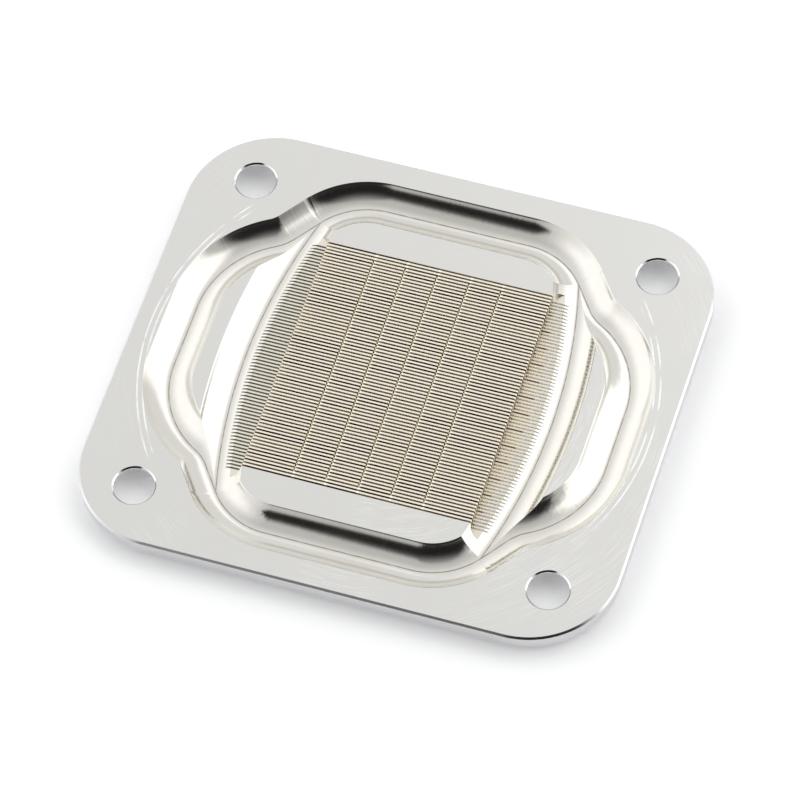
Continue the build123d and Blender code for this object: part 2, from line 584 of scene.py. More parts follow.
@dataclass
class FinField:
    """Fin block with its ledges, saw slots and cross cuts, in millimetres.

    Fields:
        grooves: Grooves that the slots run out into.
        block_inset: Distance from a side groove's centre line to the block's upright end.
        ledge_depth: Depth of the ledges beside the block's ends.
        ledge_width: Width of their cutter's path.
        ledge_cutter_radius: Radius of their cutter.
        corner_steps: Steps in each corner of the path.
        end_bevel: Broken edge at the top of the fins' upright ends.
        bevel_turn: How far that edge's normals turn, from 0 for flat to 1 for fully round.
        slanting: Upright parts of a normal between which a face counts as such an edge.
        land_width: Least flat between the ring groove and the outer slots.
        slot_pitch: Distance between the middles of two slots.
        slot_width: Width of a slot.
        slot_depth: Depth of a slot.
        cross_cut_pitch: Distance between the middles of two cross cuts.
        cross_cut_count: How many cross cuts there are.
        cross_cut_width: Width of a cross cut.
        cross_cut_depth: Depth of a cross cut.
        uncut_fins: Fins that the cross cuts leave whole at each side of the block.
        clearance: How far the cutters stand above the top face.
        top_margin: How far below the top face a face middle still counts as on it.
    """

    grooves: Grooves
    block_inset: float = 4.1
    ledge_depth: float = 1.1
    ledge_width: float = 3.0
    ledge_cutter_radius: float = 1.0
    corner_steps: int = 12
    end_bevel: float = 0.1
    bevel_turn: float = 0.85
    slanting: Limits = (0.3, 0.9)
    land_width: float = 3.4
    slot_pitch: float = 0.4
    slot_width: float = 0.2
    slot_depth: float = 1.3
    cross_cut_pitch: float = 3.4
    cross_cut_count: int = 5
    cross_cut_width: float = 0.16
    cross_cut_depth: float = 0.3
    uncut_fins: int = 2
    clearance: float = 0.6
    top_margin: float = 0.01

    def top(self) -> float:
        """Height of the plate's top face."""
        return self.grooves.blank.thickness

    def slot_rows(self) -> np.ndarray:
        """Middle of each slot across the plate, as many as the lands leave room for.

        Returns:
            Places along Y, rising and even about the middle.
        """
        g = self.grooves
        half = np.sqrt(g.ball_radius**2 - (g.ball_radius - g.depth) ** 2)
        zone = 2 * (g.blank.width / 2 - g.ring_inset - half - self.land_width)
        count = int((zone - self.slot_width) / self.slot_pitch) + 1
        return (np.arange(count) - (count - 1) / 2) * self.slot_pitch

    def saw(self, low: np.ndarray, high: np.ndarray, depth: float, region: Region) -> bpy.types.Object:
        """Many upright boxes in one mesh, from a depth to above the top face.

        Args:
            low: Lower plan corner of each box, shape (n, 2).
            high: Upper plan corner of each box, shape (n, 2).
            depth: How far they reach below the top face.
            region: Region whose finish the cuts carry.

        Returns:
            The cutter.
        """
        low = np.column_stack([low, np.full(len(low), self.top() - depth)])
        high = np.column_stack([high, np.full(len(high), self.top() + self.clearance)])
        pick = np.array([[i >> 2 & 1, i >> 1 & 1, i & 1] for i in range(8)])
        points = np.where(pick[None], high[:, None], low[:, None])
        quads = [[0, 1, 3, 2], [4, 6, 7, 5], [0, 4, 5, 1], [2, 3, 7, 6], [0, 2, 6, 4], [1, 5, 7, 3]]
        faces = (np.arange(len(low))[:, None, None] * len(pick) + np.array(quads)).reshape(-1, 4)
        return make_object(region.value + "_saw", points * MM, list(faces), region)

    def ledge_cutter(self, side: float) -> bpy.types.Object:
        """Slot-shaped end-mill pocket: a rounded outline carried upwards.

        Over the last stretch below the top face the outline grows by its own rise, which
        breaks the edge of the fins' upright ends.

        Args:
            side: 1 for the ledge to the right and -1 for the one to the left.

        Returns:
            The cutter.
        """
        radius, bevel = self.ledge_cutter_radius, self.end_bevel
        middle_x = self.grooves.side_line_x - self.block_inset + self.ledge_width / 2
        half = np.array([self.ledge_width / 2, self.slot_rows()[-1] + self.slot_width / 2 + radius])
        heights = self.top() + np.array([-self.ledge_depth, -bevel, 0.0, self.clearance])
        outlines = [
            rounded_outline(half, radius, grow, self.corner_steps) + [side * middle_x, 0.0]
            for grow in (0.0, 0.0, bevel, bevel)
        ]
        return stacked("ledge_cutter", outlines, list(heights), Region.LEDGE)

    def on_block(self, middles: np.ndarray) -> np.ndarray:
        """Which faces lie on top of the fin block, between its outer slots.

        Args:
            middles: Middle of each face, shape (n, 3).

        Returns:
            True or false for each face.
        """
        reach_x = self.grooves.side_line_x - self.block_inset
        inside = (np.abs(middles[:, 0]) < reach_x) & (np.abs(middles[:, 1]) < self.slot_rows()[-1])
        return inside & (middles[:, 2] > self.top() - self.top_margin)

    def rounded(self, normals: np.ndarray, places: np.ndarray) -> np.ndarray:
        """Normals of the broken end edges, turned up at the top and out at the foot.

        A 45 degree face gets (1 - t, 1 + t) times its level and upright parts, where t
        runs from minus the turn at the foot of the bevel to the turn at the top.

        Args:
            normals: Flat normals of the ledges' corners, shape (n, 3).
            places: Places of those corners, shape (n, 3).

        Returns:
            The normals, turned where the face slants.
        """
        rise = np.clip((places[:, 2] - self.top()) / self.end_bevel * 2 + 1, -1.0, 1.0)
        t = rise * self.bevel_turn
        tilted = (normals[:, 2] > self.slanting[0]) & (normals[:, 2] < self.slanting[1])
        scale = np.column_stack([1 - t, 1 - t, 1 + t])
        return np.where(tilted[:, None], normals * scale, normals)

    def cut_from(self, body: bpy.types.Object) -> None:
        """Mills the ledges, then saws the slots and the cross cuts.

        A slot at y ends on the side grooves' lines, where |x| is the place of the arc's
        centre plus the root of (radius squared - y squared).

        Args:
            body: The plate.
        """
        g = self.grooves
        for side in (1.0, -1.0):
            cut(body, self.ledge_cutter(side))
        rows = self.slot_rows()
        reach = g.side_line_x - g.side_radius + np.sqrt(g.side_radius**2 - rows**2)
        low = np.column_stack([-reach, rows - self.slot_width / 2])
        high = np.column_stack([reach, rows + self.slot_width / 2])
        cut(body, self.saw(low, high, self.slot_depth, Region.SLOT))
        lines = (np.arange(self.cross_cut_count) - (self.cross_cut_count - 1) / 2) * self.cross_cut_pitch
        end = np.full_like(lines, rows[-1] - self.uncut_fins * self.slot_pitch)
        low = np.column_stack([lines - self.cross_cut_width / 2, -end])
        high = np.column_stack([lines + self.cross_cut_width / 2, end])
        cut(body, self.saw(low, high, self.cross_cut_depth, Region.CROSS))


@dataclass
class ScrewHoles:
    """Four holes, lightly chamfered at the fin side and countersunk from below.

    Sizes in millimetres.

    Fields:
        blank: Plate that they are drilled in.
        inset_x: Plate edge to the axis, to the left and right.
        inset_y: Plate edge to the axis, to the front and back.
        diameter: Diameter of the bore.
        bevel: Chamfer at the fin side.
        countersink_diameter: Diameter of the cone at the contact face.
        overrun: How far the cutter stands out of the plate.
        steps: Steps round the axis.
    """

    blank: Blank
    inset_x: float = 6.5
    inset_y: float = 6.15
    diameter: float = 4.2
    bevel: float = 0.15
    countersink_diameter: float = 8.4
    overrun: float = 0.5
    steps: int = 128

    def centres(self) -> np.ndarray:
        """Plan places of the four holes, shape (4, 2)."""
        x, y = self.blank.half() - [self.inset_x, self.inset_y]
        return np.array([[x, y], [-x, y], [-x, -y], [x, -y]])

    def build(self, centre: np.ndarray) -> bpy.types.Object:
        """Turned cutter: radius as a function of height, carried round the axis.

        Args:
            centre: Plan place of the axis.

        Returns:
            The cutter.
        """
        wide, narrow, over = self.countersink_diameter / 2, self.diameter / 2, self.overrun
        top = self.blank.thickness
        heights = [-over, 0.0, wide - narrow, top - self.bevel, top + over]
        radii = np.array([wide + over, wide, narrow, narrow, narrow + self.bevel + over])
        angle = np.linspace(0.0, 2 * np.pi, self.steps, endpoint=False)
        outlines = centre + radii[:, None, None] * np.stack([np.cos(angle), np.sin(angle)], -1)
        return stacked("screw_hole_cutter", list(outlines), heights, Region.HOLE)

    def normals(self, places: np.ndarray) -> np.ndarray:
        """Inward normals: level in the bore, 45 degrees down in the cone and up in the bevel.

        Args:
            places: Corner places in the plan with the height of the face's middle.

        Returns:
            Normals of any length, shape (n, 3).
        """
        gap = places[:, None, :2] - self.centres()
        away = gap[np.arange(len(places)), np.hypot(gap[..., 0], gap[..., 1]).argmin(1)]
        level = -away / np.maximum(np.hypot(*away.T), TINY)[:, None]
        cone = (self.countersink_diameter - self.diameter) / 2
        rise = np.where(places[:, 2] > self.blank.thickness - self.bevel, 1.0, 0.0)
        return np.column_stack([level, np.where(places[:, 2] < cone, -1.0, rise)])

    def cut_from(self, body: bpy.types.Object) -> None:
        """Drills and countersinks the four holes in the plate."""
        for centre in self.centres():
            cut(body, self.build(centre))


# Finishes


class Nodes:
    """Short way to place and join shader nodes in one tree."""

    def __init__(self, tree: bpy.types.NodeTree) -> None:
        """Starts on an empty tree."""
        self.tree = tree
        tree.nodes.clear()

    def add(self, kind: str, **values: object) -> bpy.types.Node:
        """New node.

        Args:
            kind: Type name of the node.
            values: Value of a property or a socket, each by its name.

        Returns:
            The node.
        """
        node = self.tree.nodes.new(kind)
        for name, value in values.items():
            if hasattr(node, name):
                setattr(node, name, value)
            else:
                self.feed(node.inputs[name], value)
        return node

    def feed(self, socket: Socket, value: object) -> None:
        """Joins an output to a socket, or sets the socket to a plain value.

        Args:
            socket: Socket that takes the value.
            value: Output of another node, or a number, colour or vector.
        """
        if isinstance(value, Socket):
            self.tree.links.new(value, socket)
        else:
            socket.default_value = value

    def maths(self, operation: str, *terms: Term, clamp: bool = False) -> Socket:
        """Output of a Math node.

        Args:
            operation: What the node does.
            terms: Sockets or numbers that it works on.
            clamp: Whether the result is held between 0 and 1.

        Returns:
            The result.
        """
        node = self.tree.nodes.new("ShaderNodeMath")
        node.operation, node.use_clamp = operation, clamp
        for socket, term in zip(node.inputs, terms):
            self.feed(socket, term)
        return node.outputs[0]

    def product(self, *terms: Term) -> Socket:
        """Product of two or more sockets or numbers."""
        return reduce(partial(self.maths, "MULTIPLY"), terms)

    def total(self, *terms: Term) -> Socket:
        """Sum of two or more sockets or numbers."""
        return reduce(partial(self.maths, "ADD"), terms)

    def minus(self, first: Term, second: Term) -> Socket:
        """First value less the second."""
        return self.maths("SUBTRACT", first, second)

    def span(self, x: Socket, y: Socket) -> Socket:
        """Length of the plan vector (x, y): the root of x squared plus y squared."""
        return self.maths("SQRT", self.total(self.product(x, x), self.product(y, y)))

    def past(self, value: Socket, pitch: float) -> Socket:
        """Distance past the last whole number of pitches: pitch * fract(value / pitch)."""
        return self.product(self.maths("FRACT", self.maths("DIVIDE", value, pitch)), pitch)

    def ramp(
        self, value: Term, low: float, high: float, to_low: float = 0.0, to_high: float = 1.0
    ) -> Socket:
        """Smooth map of a value, level outside its limits.

        Args:
            value: Value that is mapped.
            low: Value where the map starts.
            high: Value where it ends.
            to_low: Result at the start.
            to_high: Result at the end.

        Returns:
            The mapped value.
        """
        node = self.tree.nodes.new("ShaderNodeMapRange")
        node.interpolation_type = "SMOOTHSTEP"
        for socket, term in zip(node.inputs, (value, low, high, to_low, to_high)):
            self.feed(socket, term)
        return node.outputs[0]

    def fall(self, value: Term, low: float, high: float) -> Socket:
        """Smooth map from 1 at the low limit to 0 at the high one."""
        return self.ramp(value, low, high, 1.0, 0.0)

    def noise(self, vector: Socket, scale: float, detail: float, rough: float = 0.55) -> Socket:
        """Value of a noise texture at a place.

        Args:
            vector: The place.
            scale: Scale of the noise.
            detail: Number of finer layers.
            rough: Strength of each layer against the one before.

        Returns:
            A value about 0.5.
        """
        node = self.add("ShaderNodeTexNoise", Vector=vector, Scale=scale, Detail=detail, Roughness=rough)
        return node.outputs[0]

    def stretch(self, vector: Socket, scale: tuple, turn: float = 0.0) -> Socket:
        """Place scaled by axis and turned about Z."""
        node = self.add("ShaderNodeMapping", Vector=vector, Scale=scale, Rotation=(0.0, 0.0, turn))
        return node.outputs[0]

    def parts(self, vector: Socket) -> list[Socket]:
        """The three parts of a vector."""
        return list(self.add("ShaderNodeSeparateXYZ", Vector=vector).outputs)

    def join(self, *parts: Term) -> Socket:
        """Vector of up to three parts, the rest of them 0.

        Args:
            parts: Its parts from the first on.

        Returns:
            The vector.
        """
        node = self.tree.nodes.new("ShaderNodeCombineXYZ")
        for socket, part in zip(node.inputs, parts):
            self.feed(socket, part)
        return node.outputs[0]

    def blend(self, factor: Socket, first: Socket | Colour, second: Socket | Colour) -> Socket:
        """Colour mixed from first to second.

        Args:
            factor: 0 for the first colour and 1 for the second.
            first: A colour.
            second: Another colour.

        Returns:
            The mixed colour.
        """
        node = self.tree.nodes.new("ShaderNodeMix")
        node.data_type = "RGBA"
        self.feed(node.inputs[0], factor)
        self.feed(node.inputs[6], first)
        self.feed(node.inputs[7], second)
        return node.outputs[2]


def new_group(name: str, inputs: dict, outputs: dict) -> tuple[Nodes, dict, dict]:
    """New shader node group.

    Args:
        name: Group name.
        inputs: Kind of each input by name: Vector, Color or Float.
        outputs: Kind of each output by name.

    Returns:
        Its node maker, its given values by name, and the sockets of its results by name.
    """
    tree = bpy.data.node_groups.new(name, "ShaderNodeTree")
    for way, sockets in (("INPUT", inputs), ("OUTPUT", outputs)):
        for label, kind in sockets.items():
            tree.interface.new_socket(label, in_out=way, socket_type="NodeSocket" + kind)
    nodes = Nodes(tree)
    given = {socket.name: socket for socket in nodes.add("NodeGroupInput").outputs}
    result = {socket.name: socket for socket in nodes.add("NodeGroupOutput").inputs}
    return nodes, given, result


@dataclass(frozen=True)
class Plating:
    """Tone and gloss that all the nickel has in common, as a node group.

    Fields:
        broad_scale: Scale of the wide clouds.
        broad_detail: Finer layers in them.
        fine_scale: Scale of the small clouds.
        fine_detail: Finer layers in them.
        broad_share: Share of the wide clouds in the sum.
        dull_limits: Sums between which the clear tone passes into the dull one.
        swing: Change of roughness for a change of 1 in the sum.
    """

    broad_scale: float = 90.0
    broad_detail: float = 3.0
    fine_scale: float = 1400.0
    fine_detail: float = 2.0
    broad_share: float = 0.65
    dull_limits: Limits = (0.35, 0.68)
    swing: float = 0.25

    def build(self) -> None:
        """Two sizes of noise move the colour and give the roughness small cloudy changes."""
        n, given, result = new_group(
            PLATING,
            {"Place": "Vector", "Clear": "Color", "Dull": "Color",
             "Roughness": "Float", "Clouding": "Float"},
            {"Color": "Color", "Roughness": "Float"},
        )
        broad = n.noise(given["Place"], self.broad_scale, self.broad_detail)
        fine = n.noise(given["Place"], self.fine_scale, self.fine_detail)
        both = n.total(n.product(broad, self.broad_share), n.product(fine, 1.0 - self.broad_share))
        clouded = n.product(n.ramp(both, *self.dull_limits), given["Clouding"])
        n.feed(result["Color"], n.blend(clouded, given["Clear"], given["Dull"]))
        change = n.product(n.minus(both, 0.5), given["Clouding"], self.swing)
        n.feed(result["Roughness"], n.maths("ADD", given["Roughness"], change, clamp=True))


@dataclass(frozen=True)
class ToolMarks:
    """Fine tool marks as a node group: noise drawn out along the first axis of its place.

    Fields:
        detail: Finer layers in the noise.
        rough: Strength of each layer against the one before.
    """

    detail: float = 2.0
    rough: float = 0.6

    def build(self) -> None:
        """Noise of the first part over the length and the second over the spacing."""
        n, given, result = new_group(
            MARKS, {"Place": "Vector", "Spacing": "Float", "Length": "Float"}, {"Height": "Float"}
        )
        x, y, _ = n.parts(given["Place"])
        drawn = n.join(n.maths("DIVIDE", x, given["Length"]), n.maths("DIVIDE", y, given["Spacing"]))
        n.feed(result["Height"], n.noise(drawn, 1.0, self.detail, self.rough))


@dataclass(frozen=True)
class Finish:
    """Nickel finish of one region.

    Fields:
        clear: Base colour where the plating is clean.
        dull: Base colour where it is slightly dull.
        roughness: Mean roughness.
        clouding: Strength of the cloudy changes, 0 to 1.
        mark_spacing: Distance between tool marks, in metres.
        mark_length: Length of a tool mark, in metres.
        mark_depth: Bump of the tool marks, in metres.
    """

    clear: Colour = (0.70, 0.69, 0.66, 1.0)
    dull: Colour = (0.65, 0.635, 0.595, 1.0)
    roughness: float = 0.16
    clouding: float = 0.5
    mark_spacing: float = 0.00012
    mark_length: float = 0.004
    mark_depth: float = 1.0e-7

    def start(self, region: Region) -> tuple[Nodes, bpy.types.Node]:
        """Clears the region's material and gives it a metallic shader.

        Args:
            region: Region that the finish is for.

        Returns:
            The material's node maker and its shader.
        """
        material = placeholder(region)
        material.use_nodes = True
        nodes = Nodes(material.node_tree)
        shader = nodes.add("ShaderNodeBsdfPrincipled", Metallic=1.0)
        nodes.add("ShaderNodeOutputMaterial", Surface=shader.outputs[0])
        return nodes, shader

    def place(self, nodes: Nodes) -> Socket:
        """Object place, in metres."""
        return nodes.add("ShaderNodeTexCoord").outputs["Object"]

    def plating(self, nodes: Nodes, place: Socket) -> tuple[Socket, Socket]:
        """Plating group with this finish's tones.

        Args:
            nodes: The material's node maker.
            place: Place that the clouds are read at.

        Returns:
            The plating's colour and roughness.
        """
        node = nodes.add(
            "ShaderNodeGroup", node_tree=bpy.data.node_groups[PLATING], Place=place, Clear=self.clear,
            Dull=self.dull, Roughness=self.roughness, Clouding=self.clouding,
        )
        return node.outputs["Color"], node.outputs["Roughness"]

    def marks(self, nodes: Nodes, place: Socket) -> Socket:
        """Height of this finish's tool marks, 0 to 1.

        Args:
            nodes: The material's node maker.
            place: Place whose first axis the marks follow.

        Returns:
            The height.
        """
        node = nodes.add(
            "ShaderNodeGroup", node_tree=bpy.data.node_groups[MARKS], Place=place,
            Spacing=self.mark_spacing, Length=self.mark_length,
        )
        return node.outputs["Height"]

    def dress(self, nodes: Nodes, shader: bpy.types.Node, colour: Socket, rough: Socket) -> None:
        """Feeds colour and roughness to the shader."""
        nodes.feed(shader.inputs["Base Color"], colour)
        nodes.feed(shader.inputs["Roughness"], rough)

    def relief(self, nodes: Nodes, shader: bpy.types.Node, height: Socket, distance: float) -> None:
        """Feeds a height to the shader's normal through a bump."""
        bump = nodes.add("ShaderNodeBump", Distance=distance, Height=height)
        nodes.feed(shader.inputs["Normal"], bump.outputs[0])

    def build(self, region: Region) -> None:
        """Plain milled finish: plating tones with straight tool marks.

        Args:
            region: Region that the finish is for.
        """
        n, shader = self.start(region)
        place = self.place(n)
        self.dress(n, shader, *self.plating(n, place))
        self.relief(n, shader, self.marks(n, place), self.mark_depth)


@dataclass(frozen=True)
class FaceFinish(Finish):
    """Flat with faint circular rubbing about the plate's middle.

    Most of the rubbing lies to the right and the front. Lengths are in metres.

    Fields:
        streaks: Streak lengths in a radian of the circle.
        streak_detail: Finer layers in the streaks.
        streak_rough: Strength of each layer against the one before.
        rub_limits: Noise values between which a streak fades in.
        rub_strength: Strength of the streaks.
        patch_scale: Scale of the noise that breaks the rubbing into patches.
        patch_limits: Its values between which a patch fades in.
        front_limits: Values of x - y between which the rubbing comes to full strength.
        back_share: Share of the rubbing left at the back and to the left.
        scuff_radius: Radius of the two bright scuffs outside the lobes.
        scuff_gap: Half of the distance between them.
        scuff_edge: Distances from a scuff's middle where it is full and gone.
        scuff_start: Distances from the middle along X between which they fade in.
        scuff_scale: Scale of the noise that breaks them up.
        scuff_limits: Its values between which they fade in.
        noise_detail: Finer layers in the patches and in the scuffs' noise.
        worn_tone: Colour of a streak.
        worn_roughness: Roughness that a streak adds.
    """

    streaks: float = 6.0
    streak_detail: float = 3.0
    streak_rough: float = 0.6
    rub_limits: Limits = (0.45, 0.70)
    rub_strength: float = 0.32
    patch_scale: float = 75.0
    patch_limits: Limits = (0.40, 0.62)
    front_limits: Limits = (-0.01, 0.02)
    back_share: float = 0.2
    scuff_radius: float = 0.0261
    scuff_gap: float = 0.0003
    scuff_edge: Limits = (0.00004, 0.00012)
    scuff_start: Limits = (0.0205, 0.0215)
    scuff_scale: float = 320.0
    scuff_limits: Limits = (0.38, 0.6)
    noise_detail: float = 2.0
    worn_tone: Colour = (0.97, 0.97, 0.96, 1.0)
    worn_roughness: float = 0.12

    def rubbing(self, n: Nodes, place: Socket, drawn: Socket) -> Socket:
        """Strength of the circular streaks.

        Args:
            n: The material's node maker.
            place: Object place.
            drawn: Noise drawn round the middle.

        Returns:
            A value from 0 to the rubbing's strength.
        """
        x, y, _ = n.parts(place)
        patches = n.ramp(n.noise(place, self.patch_scale, self.noise_detail), *self.patch_limits)
        front = n.ramp(n.minus(x, y), *self.front_limits, self.back_share, 1.0)
        streaks = n.ramp(drawn, *self.rub_limits)
        return n.product(streaks, n.product(patches, front), self.rub_strength)

    def scuffs(self, n: Nodes, place: Socket, r: Socket) -> Socket:
        """Two thin bright arcs, each where its distance from the gap's middle is half the gap.

        Args:
            n: The material's node maker.
            place: Object place.
            r: Distance from the plate's middle.

        Returns:
            A value from 0 to 1.
        """
        off = n.maths("ABSOLUTE", n.minus(r, self.scuff_radius))
        off = n.maths("ABSOLUTE", n.minus(off, self.scuff_gap))
        start = n.ramp(n.maths("ABSOLUTE", n.parts(place)[0]), *self.scuff_start)
        broken = n.ramp(n.noise(place, self.scuff_scale, self.noise_detail), *self.scuff_limits)
        return n.product(n.fall(off, *self.scuff_edge), start, broken)

    def build(self, region: Region) -> None:
        """Noise over (x/r, y/r) times the streaks, and r over the spacing, drawn round the middle.

        Args:
            region: Region that the finish is for.
        """
        n, shader = self.start(region)
        place = self.place(n)
        colour, rough = self.plating(n, place)
        x, y, _ = n.parts(place)
        r = n.span(x, y)
        turn = [n.product(n.maths("DIVIDE", part, r), self.streaks) for part in (x, y)]
        polar = n.join(*turn, n.maths("DIVIDE", r, self.mark_spacing))
        drawn = n.noise(polar, 1.0, self.streak_detail, self.streak_rough)
        worn = n.maths("MAXIMUM", self.rubbing(n, place, drawn), self.scuffs(n, place, r))
        rough = n.total(rough, n.product(worn, self.worn_roughness))
        self.dress(n, shader, n.blend(worn, colour, self.worn_tone), rough)
        self.relief(n, shader, drawn, self.mark_depth)


@dataclass(frozen=True)
class GrooveFinish(Finish):
    """Ball-milled wall: drawn-out gloss, a dull line where the ball's tip ran, a painted reflection.

    It reads the groove's own map, station along the line and distance across it, in
    millimetres, so its lengths are in millimetres where they aren't a tool mark's.

    Fields:
        spread: How far gloss is drawn out in one direction, 0 to 1.
        spread_turn: Turn of that direction from the shader's own, as a part of a full turn.
        tip_line: Distances from the groove's middle where the dull line is full and gone.
        tip_stretch: Scale of the noise that breaks it up, along the groove and across.
        tip_scale: Scale of that noise as a whole.
        tip_detail: Finer layers in it.
        tip_limits: Its values between which the line comes to full strength.
        tip_least: Least strength of the line.
        tip_tone: Colour of the dull line.
        tip_roughness: Roughness that it adds.
        painted_reflection_tone: Painted reflection: the wall's lighter colour where it is seen in
            another wall.
    """

    clear: Colour = (0.76, 0.745, 0.70, 1.0)
    dull: Colour = (0.71, 0.685, 0.625, 1.0)
    roughness: float = 0.13
    clouding: float = 0.5
    mark_spacing: float = 0.0003
    mark_length: float = 0.0025
    mark_depth: float = 4e-6
    spread: float = 0.7
    spread_turn: float = 0.25
    tip_line: Limits = (0.022, 0.099)
    tip_stretch: tuple[float, float, float] = (0.35, 2.0, 1.0)
    tip_scale: float = 3.0
    tip_detail: float = 3.0
    tip_limits: Limits = (0.25, 0.6)
    tip_least: float = 0.45
    tip_tone: Colour = (0.30, 0.27, 0.22, 1.0)
    tip_roughness: float = 0.3
    painted_reflection_tone: Colour = (0.96, 0.95, 0.92, 1.0)

    def build(self, region: Region) -> None:
        """Plating with the dull line and a painted reflection, and tool marks that run across the
        groove.

        Args:
            region: Region that the finish is for.
        """
        n, shader = self.start(region)
        colour, rough = self.plating(n, self.place(n))
        own = n.add("ShaderNodeUVMap", uv_map="groove").outputs[0]
        line = n.fall(n.maths("ABSOLUTE", n.parts(own)[1]), *self.tip_line)
        broken = n.noise(n.stretch(own, self.tip_stretch), self.tip_scale, self.tip_detail)
        tip = n.product(line, n.ramp(broken, *self.tip_limits, self.tip_least, 1.0))
        tangent = n.add("ShaderNodeTangent", direction_type="UV_MAP", uv_map="groove").outputs[0]
        n.feed(shader.inputs["Tangent"], tangent)
        n.feed(shader.inputs["Anisotropic"], self.spread)
        n.feed(shader.inputs["Anisotropic Rotation"], self.spread_turn)
        # Glossy rays see the wall in a lighter tone: a painted reflection.
        painted_reflection_mask = n.add("ShaderNodeLightPath").outputs["Is Glossy Ray"]
        colour = n.blend(painted_reflection_mask, n.blend(tip, colour, self.tip_tone), self.painted_reflection_tone)
        self.dress(n, shader, colour, n.total(rough, n.product(tip, self.tip_roughness)))
        marks = self.marks(n, n.stretch(own, (MM, MM, MM), np.pi / 2))
        self.relief(n, shader, marks, self.mark_depth)


@dataclass(frozen=True)
class SlotFinish(Finish):
    """Sawn slot walls with painted shade and painted light, where each stretch between cross cuts has
    its own tone.

    Lengths are in metres.

    Fields:
        stretch: Length of a stretch, from one cross cut to the next.
        pitch: Distance between slots.
        last: Number of the last stretch to the right, counted from the middle.
        reach: Distance from the middle to the last cross cut, with a little room.
        soft: Width over which a tone passes into the next along the slots.
        cut_past: Distances past a cross cut where its light tone is full and gone.
        cut_before: Distances before a cross cut where its light tone starts and is full.
        chance_limits: Noise values between which a stretch goes from light to dark.
        block_half_length: Half length of the block, past which the slots cross the ledges.
        cut_past: Distances past a cross cut where its painted light is full and gone.
        cut_before: Distances before a cross cut where its painted light starts and is full.
        chance_limits: Noise values between which a stretch goes from plating to painted shade.
        right_soft: Half width over which left passes into right at the middle.
        every: Slots from one slot with painted shade to the next on the right ledge.
        painted_shade_row_limits: Rows past a multiple of that between which the painted shade goes.
        painted_reflection_limits: Lengths of a reflected ray over which the walls take the painted
            reflection tone.
        dark: Painted shade of the darkest stretches.
        painted_cut_light: Painted light next to a cross cut.
        painted_left_shade: Painted shade on the left ledge and the groove wall past it.
        painted_right_light: Painted light on the right ledge.
        painted_slot_shade: Painted shade of a slot there.
        painted_groove_light: Painted light on the groove wall past the right ledge and in far
            reflections.
    """

    stretch: float = FinField.cross_cut_pitch * MM
    pitch: float = FinField.slot_pitch * MM
    last: float = (FinField.cross_cut_count - 1) / 2
    reach: float = 0.0074
    soft: float = 0.0001
    cut_past: Limits = (0.00012, 0.0004)
    cut_before: Limits = (0.0001, 0.00006)
    chance_limits: Limits = (0.5, 0.9)
    block_half_length: float = 0.012
    bow_centre: float = 0.04717
    bow_radius: float = 0.06077
    bow_soft: float = 0.00015
    right_soft: float = 0.001
    every: float = 5.0
    painted_shade_row_limits: Limits = (0.2, 0.8)
    painted_reflection_limits: Limits = (0.0012, 0.002)
    dark: Colour = (0.40, 0.33, 0.22, 1.0)
    painted_cut_light: Colour = (1.0, 0.98, 0.86, 1.0)
    painted_left_shade: Colour = (0.50, 0.48, 0.41, 1.0)
    painted_right_light: Colour = (1.0, 0.93, 0.78, 1.0)
    painted_slot_shade: Colour = (0.62, 0.49, 0.34, 1.0)
    painted_groove_light: Colour = (0.97, 0.95, 0.89, 1.0)

    def painted_block_shading(self, n: Nodes, x: Socket, row: Socket, clean: Socket) -> Socket:
        """Colour of the walls inside the block, with painted shade and painted light.

        White noise on the whole number floor(x / stretch) and the row picks the tone of a
        stretch, plating or painted shade, with painted light next to a cross cut.

        Args:
            n: The material's node maker.
            x: Place along the slots.
            row: Whole number of the slot.
            clean: Colour of the plating.

        Returns:
            The colour.
        """
        number = n.maths("FLOOR", n.maths("DIVIDE", x, self.stretch))
        number = n.maths("MINIMUM", n.maths("MAXIMUM", number, -1.0 - self.last), self.last)
        chance = n.add("ShaderNodeTexWhiteNoise", Vector=n.join(number, row)).outputs[0]
        # Painted light next to each cross cut, and painted shade in the stretches that the noise picks.
        past, (start, full) = n.past(x, self.stretch), self.cut_before
        before = n.ramp(past, self.stretch - start, self.stretch - full)
        cut = n.maths("MAXIMUM", n.fall(past, *self.cut_past), before)
        cut = n.product(cut, n.fall(n.maths("ABSOLUTE", x), self.reach - self.soft, self.reach))
        dark = n.product(n.ramp(chance, *self.chance_limits), n.minus(1.0, cut))
        return n.blend(dark, n.blend(cut, clean, self.painted_cut_light), self.dark)

    def painted_ledge_shading(self, n: Nodes, x: Socket, y: Socket, row: Socket) -> Socket:
        """Painted shade and light on the walls in the ledges and in the side grooves' walls past them.

        A place lies in the groove where the length of (|x| + centre distance, y) is more
        than the rim line's radius. The left ledge gets painted shade, the right ledge painted
        light, and the groove wall past it lighter painted light. On the right ledge a row gets
        painted shade where its number is a multiple of the count between.

        Args:
            n: The material's node maker.
            x: Place along the slots.
            y: Place across the slots.
            row: Whole number of the slot.

        Returns:
            The colour.
        """
        # Painted shade on the left ledge, painted light on the right one and on the groove wall past it.
        arm = n.span(n.total(n.maths("ABSOLUTE", x), self.bow_centre), y)
        right = n.ramp(x, -self.right_soft, self.right_soft)
        groove = n.ramp(n.minus(arm, self.bow_radius), -self.bow_soft, self.bow_soft)
        groove = n.product(groove, right)
        # Painted shade in every fifth slot on the right ledge.
        painted_shade_rows = n.fall(n.maths("FLOORED_MODULO", row, self.every), *self.painted_shade_row_limits)
        painted_shade_rows = n.product(painted_shade_rows, right, n.minus(1.0, groove))
        side = n.blend(groove, n.blend(right, self.painted_left_shade, self.painted_right_light), self.painted_groove_light)
        return n.blend(painted_shade_rows, side, self.painted_slot_shade)

